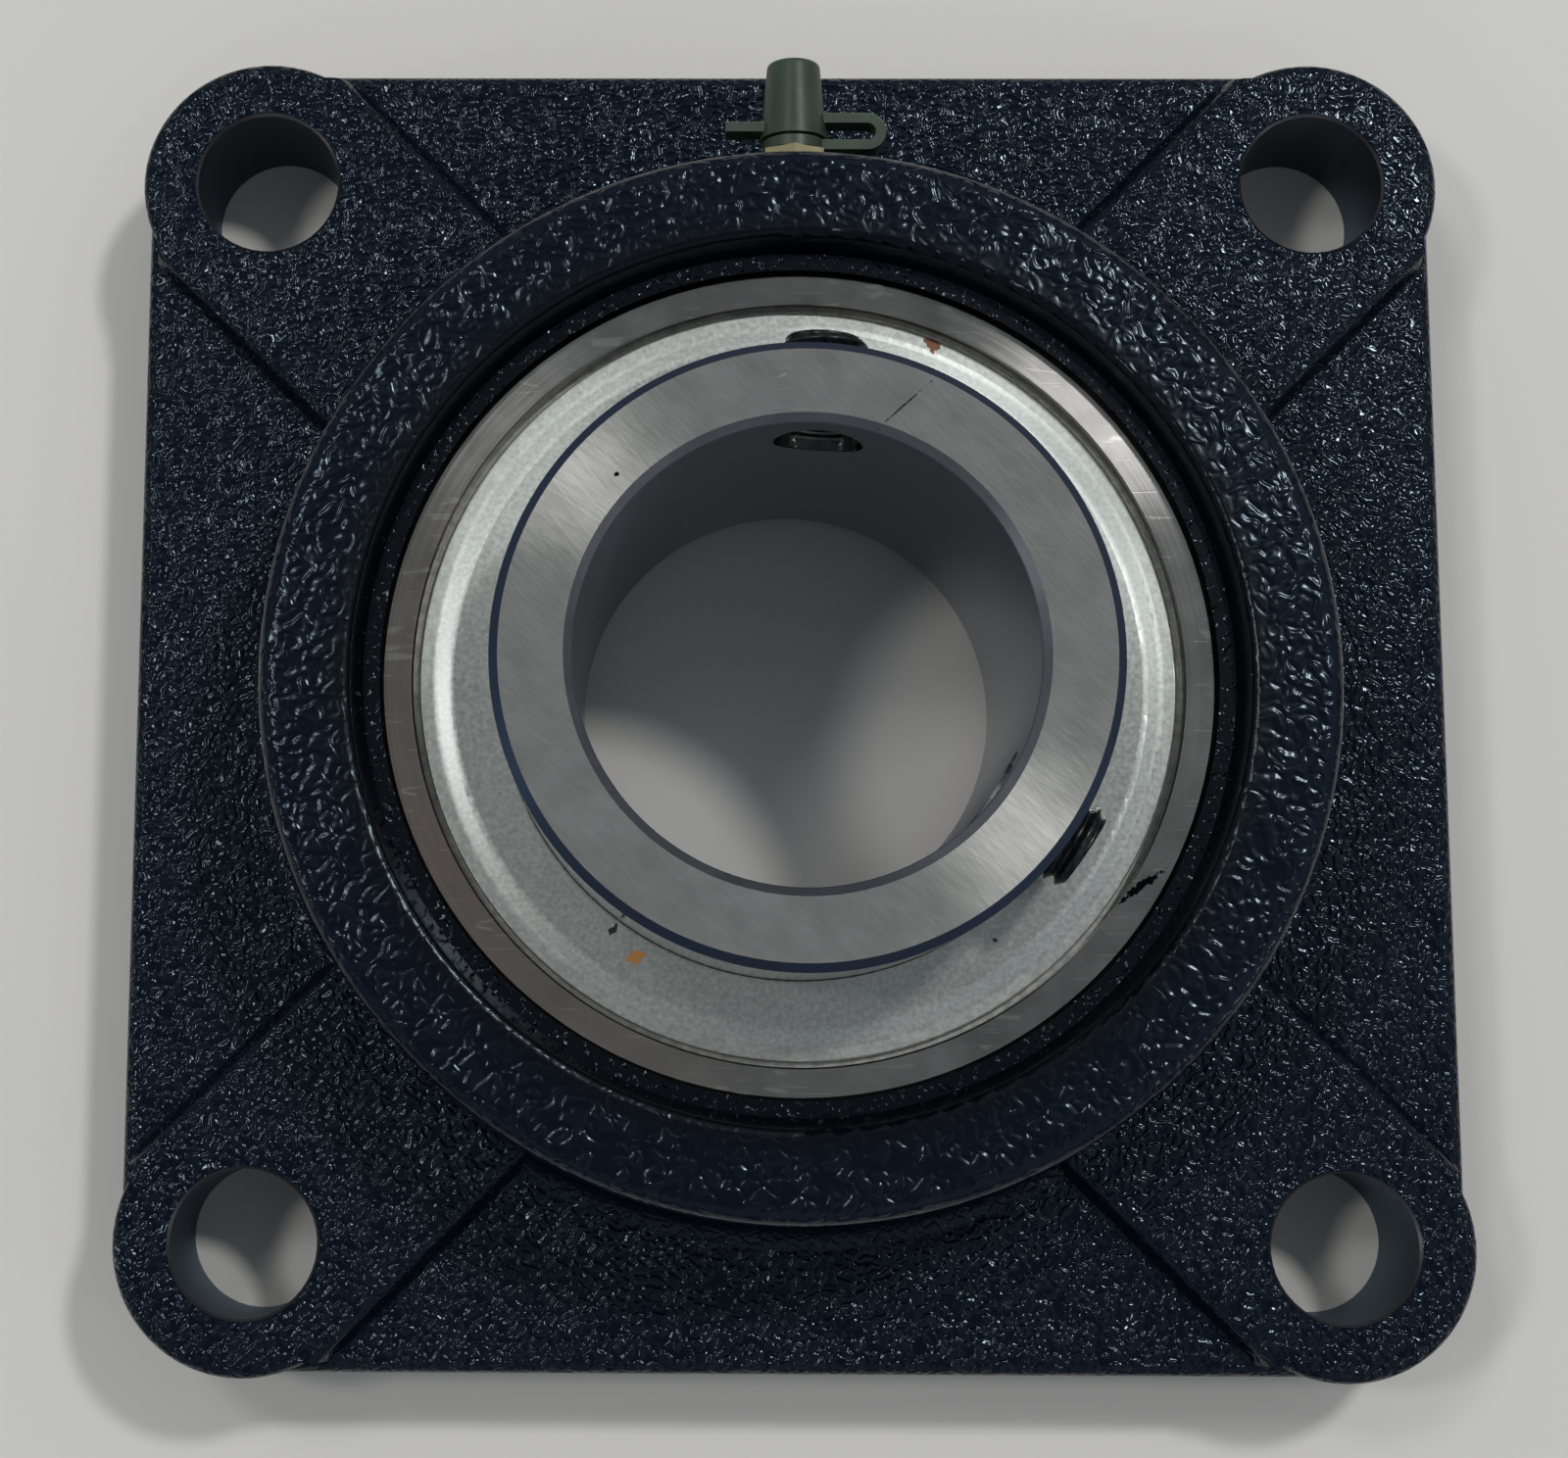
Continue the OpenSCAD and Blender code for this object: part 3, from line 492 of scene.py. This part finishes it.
finish, tree, shader, place = new_finish("outer_ring_steel")
scratches = effect(tree, "scratches", Vector=place, Scale=scratch_per_m, Width=scratch_width)["Mask"]
grain = effect(tree, "turned lines", Vector=place, Scale=outer_lines_per_m)["Value"]
stain = noise(tree, place, stain_per_m, detail=4)
x, y, z = split(tree, place)
azimuth = calc(tree, "ARCTAN2", y, x)
# The face is mixed towards brown on one side, more where the stain is heavier.
toward_brown_side = facing_side(tree, azimuth, brown_side_deg, brown_side_narrowness)
brown_side = calc(tree, "MULTIPLY", toward_brown_side, calc(tree, "MULTIPLY_ADD", stain, 1.2, 0.1))
colour = tinted(tree, outer_colour, stain, 0.72, 1.15)
colour = covered(tree, brown_side, colour, brown_side_colour)
scratched = calc(tree, "MULTIPLY", scratches, scratch_strength)
colour = covered(tree, scratched, colour, scratch_colour)
colour = marked(tree, place, colour, outer_marks)
worn = duller(tree, azimuth, worn_sides, outer_roughness)
rough = calc(tree, "MULTIPLY_ADD", calc(tree, "SUBTRACT", grain, 0.5), grain_roughness, worn)
height = calc(tree, "MULTIPLY_ADD", scratches, -scratch_depth, grain)
feed(tree, shader, Base_Color=colour, Roughness=rough, Normal=relief(tree, height, 0.3, polish_depth))
ground_round(tree, shader)
finished(finish, ["outer_ring"])

# Inner ring: the same steel, ground all over and brighter. Its end face is ground in crossing lines
# and is duller on two sides. Its chamfers are blue-black: partly a thin film from hardening,
# partly painted dark reflection.
inner_colour = (0.69, 0.68, 0.65, 1)
inner_roughness = 0.085
crossing_rougher = 0.06
inner_lines_per_m = 3800.0
fine_scratch_colour = (0.8, 0.79, 0.76, 1)
fine_scratch_strength = 0.35
fine_scratch_per_m = 520.0
fine_scratch_width = 0.014
cloud_per_m = 240
chamfer_film_and_shade_colour = (0.035, 0.05, 0.085, 1)
film_rougher = 0.35
bore_painted_shade_colour = (0.26, 0.28, 0.32, 1)
bore_rougher = 0.1
bore_film_and_shade_thinner = 0.2
chamfer_tilt = (0.6, 0.8)
ring_face_z = 59.4
ring_marks = [
    ((-20.6, 19.4, ring_face_z), (0.28, 0.28, 1), 0, mark_colour),
    ((10.7, 27.2, ring_face_z), (3.2, 0.1, 1), 42, (0.12, 0.12, 0.12, 1)),
    ((-2.6, 30.5, ring_face_z), (0.6, 0.13, 1), 27, (0.9, 0.9, 0.88, 1)),
]
crossing_deg = (-35, -52)
crossing_per_m = 3200
crossing_stretch = 16
ground_sides = ((141, 14.0, 0.2), (318, 14.0, 0.26))
bore_wall_r = 0.0255
bore_edge_r = 0.028

finish, tree, shader, place = new_finish("inner_ring_steel")
scratches = effect(
    tree, "scratches", Vector=place, Scale=fine_scratch_per_m, Width=fine_scratch_width
)["Mask"]
grain = effect(tree, "turned lines", Vector=place, Scale=inner_lines_per_m)["Value"]
cloud = noise(tree, place, cloud_per_m, detail=5)
crossing = 0.0
for turn in crossing_deg:
    drawn_out = add(
        tree, "Mapping", {"vector_type": "TEXTURE"}, Vector=place, Rotation=(0, 0, math.radians(turn)),
        Scale=(crossing_stretch, 1, 1),
    )
    crossing = calc(tree, "ADD", crossing, noise(tree, drawn_out.outputs[0], crossing_per_m))
x, y, z = split(tree, place)
azimuth = calc(tree, "ARCTAN2", y, x)
from_axis = distance(tree, x, y)
in_bore = below(tree, from_axis, bore_wall_r)
tilt = calc(tree, "ABSOLUTE", split(tree, add(tree, "TexCoord").outputs["Normal"])["Z"])
chamfer = both(tree, above(tree, tilt, chamfer_tilt[0]), below(tree, tilt, chamfer_tilt[1]))
at_bore = below(tree, from_axis, bore_edge_r)
chamfer_film_and_shade = calc(tree, "MULTIPLY", chamfer, calc(tree, "MULTIPLY_ADD", at_bore, -bore_film_and_shade_thinner, 1.0))

colour = tinted(tree, inner_colour, calc(tree, "MULTIPLY", crossing, 0.5), 0.94, 1.04, 0.35, 0.65)
colour = tinted(tree, colour, cloud, 0.88, 1.08)
scratched = calc(tree, "MULTIPLY", scratches, fine_scratch_strength)
colour = covered(tree, scratched, colour, fine_scratch_colour)
colour = marked(tree, place, colour, ring_marks)
# The bore wall is painted darker and bluer than the face: painted shade inside the bore.
colour = covered(tree, in_bore, colour, bore_painted_shade_colour)
# Painted dark reflection on the chamfers, on top of their thin hardening film.
colour = covered(tree, chamfer_film_and_shade, colour, chamfer_film_and_shade_colour)
off_mean = calc(tree, "SUBTRACT", crossing, 1.0)
uneven = calc(tree, "MULTIPLY_ADD", off_mean, crossing_rougher, inner_roughness)
rough = duller(tree, azimuth, ground_sides, uneven)
rough = calc(tree, "MULTIPLY_ADD", chamfer, film_rougher, rough)
rough = calc(tree, "MULTIPLY_ADD", in_bore, bore_rougher, rough)
outside_bore = calc(tree, "SUBTRACT", 1.0, in_bore)
height = calc(tree, "MULTIPLY", calc(tree, "MULTIPLY_ADD", crossing, 0.5, grain), outside_bore)
feed(tree, shader, Base_Color=colour, Roughness=rough, Normal=relief(tree, height, 0.2, polish_depth))
ground_round(tree, shader)
finished(finish, ["inner_ring"])

# Slingers: rings pressed from zinc plated sheet, pushed onto the inner ring's two ends.
# The plating is pale, a little green, satin and finely speckled, and its cut edge is bright.
zinc_colour = (0.42, 0.447, 0.433, 1)
zinc_metal_share = 0.65
zinc_roughness = 0.2
step_roughness = 0.34
cut_edge_smoother = 0.06
spangle_rougher = 0.08
pit_colour = (0.1, 0.1, 0.09, 1)
pit_strength = 0.35
rust_colour = (0.13, 0.055, 0.028, 1)
orange_rust_colour = (0.62, 0.3, 0.1, 1)
grime_colour = (0.04, 0.04, 0.04, 1)
slinger_marks = [
    ((16.1, 40.1, 36.6), (0.9, 1.2, 1), 20, rust_colour),
    ((-18.6, -31.9, 37.0), (0.95, 0.8, 1), 10, orange_rust_colour),
    ((-21.2, -28.8, 37.0), (0.7, 0.35, 1), 40, grime_colour),
    ((22.2, -29.8, 37.0), (0.3, 0.22, 1), 0, grime_colour),
]
spangle_per_m = 1900
spangle_depth = 0.00002
pits_per_m = 420
pit_reach = 0.045
step_from_r = 0.0396
step_to_r = 0.0404
cut_edge_from_r = 0.0416
cut_edge_to_r = 0.0421
dull_sides = ((36, 10, 0.2), (144, 14, 0.14))

finish, tree, shader, place = new_finish("slinger_zinc")
spangle = noise(tree, place, spangle_per_m)
pits = add(tree, "TexVoronoi", Vector=place, Scale=pits_per_m, Randomness=1.0).outputs["Distance"]
colour = tinted(tree, zinc_colour, spangle, 0.8, 1.1)
pitted = calc(tree, "MULTIPLY", below(tree, pits, pit_reach), pit_strength)
colour = covered(tree, pitted, colour, pit_colour)
colour = marked(tree, place, colour, slinger_marks)
x, y, z = split(tree, place)
from_axis = distance(tree, x, y)
on_step = ramp(tree, from_axis, step_from_r, step_to_r, zinc_roughness, step_roughness)
on_cut_edge = ramp(tree, from_axis, cut_edge_from_r, cut_edge_to_r, 0.0, -cut_edge_smoother)
satin = calc(tree, "MULTIPLY_ADD", spangle, spangle_rougher, calc(tree, "ADD", on_step, on_cut_edge))
rough = duller(tree, calc(tree, "ARCTAN2", y, x), dull_sides, satin)
feed(
    tree, shader, Base_Color=colour, Metallic=zinc_metal_share, Roughness=rough,
    Normal=relief(tree, spangle, 0.25, spangle_depth),
)
finished(finish, ["slinger_front", "slinger_rear"])

# Set screws: alloy steel with black oxide, thread rolled to M10, hexagon socket and cup point.
# Each stands a little out of the inner ring and can be driven in against the shaft.
screw_angles = {"set_screw_1": 86, "set_screw_2": -34}
oxide_colour = (0.016, 0.018, 0.021, 1)
oxide_metal_share = 0.7
oxide_roughness = (0.28, 0.42)
wear_per_m = 1500
screw_foot_r = 0.0271
screw_z = 0.05
screw_len = 0.01
crest_r = 0.00498
root_r = 0.0042
thread_pitch = 0.0015
crest_share = 0.1
flank_share = 0.75
end_chamfer = 0.0008
socket_af = 0.005
socket_depth = 0.005
cup_r = 0.0032
cup_depth = 0.0016
closed_r = 1e-7
weld_gap = 1e-6
round_steps = 96
along_steps = 80
sixth_turn = math.pi / 3
screw_ends = (
    (0, (("cup", 0), ("closed", cup_depth))),
    (screw_len, (("socket", 0), ("socket", -socket_depth), ("closed", -socket_depth))),
)

finish, tree, shader, place = new_finish("screw_black")
wear = noise(tree, place, wear_per_m, detail=3)
colour = tinted(tree, oxide_colour, wear, 0.5, 2.6, 0.4, 0.75)
rough = ramp(tree, wear, 0.3, 0.7, *oxide_roughness)
feed(tree, shader, Base_Color=colour, Metallic=oxide_metal_share, Roughness=rough)

for name, angle in screw_angles.items():
    screw = bmesh.new()
    bmesh.ops.create_grid(screw, x_segments=round_steps, y_segments=along_steps, size=0.5)
    for v in screw.verts:
        turn = 2 * math.pi * (v.co.x + 0.5)
        along = screw_len * (v.co.y + 0.5)
        phase = (along / thread_pitch - turn / (2 * math.pi)) % 1
        into_root = min(1, max(0, (abs(phase - 0.5) * 2 - crest_share) / flank_share))
        r = root_r + (crest_r - root_r) * (1 - into_root)
        r = min(r, crest_r - end_chamfer + min(along, screw_len - along))
        v.co = (r * math.cos(turn), r * math.sin(turn), along)
    bmesh.ops.remove_doubles(screw, verts=screw.verts, dist=weld_gap)
    for end, steps in screw_ends:
        rim = [e for e in screw.edges if e.is_boundary and abs(e.verts[0].co.z - end) < weld_gap]
        for form, sink in steps:
            grown = bmesh.ops.extrude_edge_only(screw, edges=rim)["geom"]
            rim = [part for part in grown if isinstance(part, bmesh.types.BMEdge)]
            for v in {v for e in rim for v in e.verts}:
                turn = math.atan2(v.co.y, v.co.x)
                flat_r = socket_af / 2 / math.cos(turn % sixth_turn - sixth_turn / 2)
                r = {"socket": flat_r, "cup": cup_r, "closed": closed_r}[form]
                v.co = (r * math.cos(turn), r * math.sin(turn), end + sink)
    bmesh.ops.remove_doubles(screw, verts=screw.verts, dist=weld_gap)
    bmesh.ops.recalc_face_normals(screw, faces=screw.faces)
    in_ring = Matrix.Rotation(math.radians(angle), 4, "Z") @ Matrix.Translation((screw_foot_r, 0, screw_z))
    bmesh.ops.transform(screw, matrix=in_ring @ Matrix.Rotation(math.pi / 2, 4, "Y"), verts=screw.verts)
    threaded = new_piece(name + "_threaded", screw, finish)
    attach(threaded, "screw_" + name[-1])
    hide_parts(name)

# Seals: a pressed steel disc in each side of the outer ring, with black rubber bonded on its
# inner edge. Little of them shows behind the slingers.
speckle_per_m = 900

for slot_name, members, colour, metallic, roughness in (
    ("seal_case_steel", ["seal_case_front", "seal_case_rear"], (0.3, 0.3, 0.29, 1), 1.0, 0.4),
    ("seal_rubber", ["seal_lip_front", "seal_lip_rear"], (0.012, 0.012, 0.013, 1), 0.0, 0.6),
):
    finish, tree, shader, place = new_finish(slot_name)
    colour = tinted(tree, colour, noise(tree, place, speckle_per_m), 0.75, 1.25)
    feed(tree, shader, Base_Color=colour, Metallic=metallic, Roughness=roughness)
    finished(finish, members)

# Balls, cage and rivets: polished balls in two pressed cage halves, joined by bright rivets.
# They run unseen between the rings.
oil_per_m = 300
oil_rougher = 0.06

for slot_name, members, colour, roughness in (
    ("ball_steel", ["ball_%02d" % i for i in range(1, 11)], (0.62, 0.62, 0.61, 1), 0.08),
    ("cage_steel", ["cage_front", "cage_rear"], (0.42, 0.42, 0.41, 1), 0.35),
    ("rivet_steel", ["cage_rivets"], (0.55, 0.55, 0.54, 1), 0.25),
):
    finish, tree, shader, place = new_finish(slot_name)
    oil = noise(tree, place, oil_per_m)
    rough = ramp(tree, oil, 0.0, 1.0, roughness, roughness + oil_rougher)
    feed(tree, shader, Base_Color=tinted(tree, colour, oil, 0.9, 1.08), Metallic=1, Roughness=rough)
    finished(finish, members)

# Grease nipple with its check ball and spring: turned from steel, yellow passivated,
# and screwed into the boss. The cap hides its head.
sharp_from = math.radians(35)
double_gap = 1e-7
film_per_m = 500

for slot_name, members, colour, roughness in (
    ("nipple_zinc", ["grease_nipple"], (0.5, 0.43, 0.25, 1), 0.3),
    ("check_steel", ["check_ball"], (0.6, 0.6, 0.6, 1), 0.1),
    ("spring_steel", ["check_spring"], (0.3, 0.3, 0.3, 1), 0.35),
):
    finish, tree, shader, place = new_finish(slot_name)
    colour = tinted(tree, colour, noise(tree, place, film_per_m), 0.88, 1.1)
    feed(tree, shader, Base_Color=colour, Metallic=1, Roughness=roughness)
    finished(finish, members)


def pliant(name, finish, cuts):
    """Makes a CAD piece's stand-in, cut into finer rows at the given Y."""
    copy = bmesh.new()
    copy.from_mesh(nodes[name].data)
    bmesh.ops.remove_doubles(copy, verts=copy.verts, dist=double_gap)
    for y in cuts:
        everything = copy.verts[:] + copy.edges[:] + copy.faces[:]
        bmesh.ops.bisect_plane(copy, geom=everything, plane_co=(0, y, 0), plane_no=(0, 1, 0))
    for face in copy.faces:
        face.smooth = True
    for edge in copy.edges:
        edge.smooth = edge.calc_face_angle(math.pi) < sharp_from
    piece = new_piece(name + "_pliant", copy, finish)
    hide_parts(name)
    return piece


spring = pliant("check_spring", finish, [])
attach(spring, "housing")
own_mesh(spring)

# Cap and strap: one soft moulding in dark translucent green polyethylene, pushed over the nipple's
# head and held by its strap, whose ring lies round the nipple's neck.
cap_colour = (0.03, 0.05, 0.035, 1)
cap_gloss = 0.3
cap_roughness = (0.34, 0.46)
cap_glow_share = 0.3
cap_glow_colour = (0.5, 1.0, 0.6)
cap_glow_depth = 0.0015
cap_cloud_per_m = 260
cap_waviness = 0.0001
strap_bend_from = 0.0658
strap_bend_to = 0.0677
strap_rows = 15

finish, tree, shader, place = new_finish("cap_plastic")
cloud = noise(tree, place, cap_cloud_per_m, detail=3)
rough = ramp(tree, cloud, 0.3, 0.7, *cap_roughness)
feed(
    tree, shader, Base_Color=tinted(tree, cap_colour, cloud, 0.85, 1.15), Roughness=rough,
    Normal=relief(tree, cloud, 0.3, cap_waviness), Specular_IOR_Level=cap_gloss,
    Subsurface_Weight=cap_glow_share, Subsurface_Radius=cap_glow_colour, Subsurface_Scale=cap_glow_depth,
)
finished(finish, ["nipple_cap", "cap_strap"])

row_len = (strap_bend_to - strap_bend_from) / strap_rows
strap_cuts = [strap_bend_from + i * row_len for i in range(strap_rows + 1)]
strap = pliant("cap_strap", finish, strap_cuts)
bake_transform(strap)
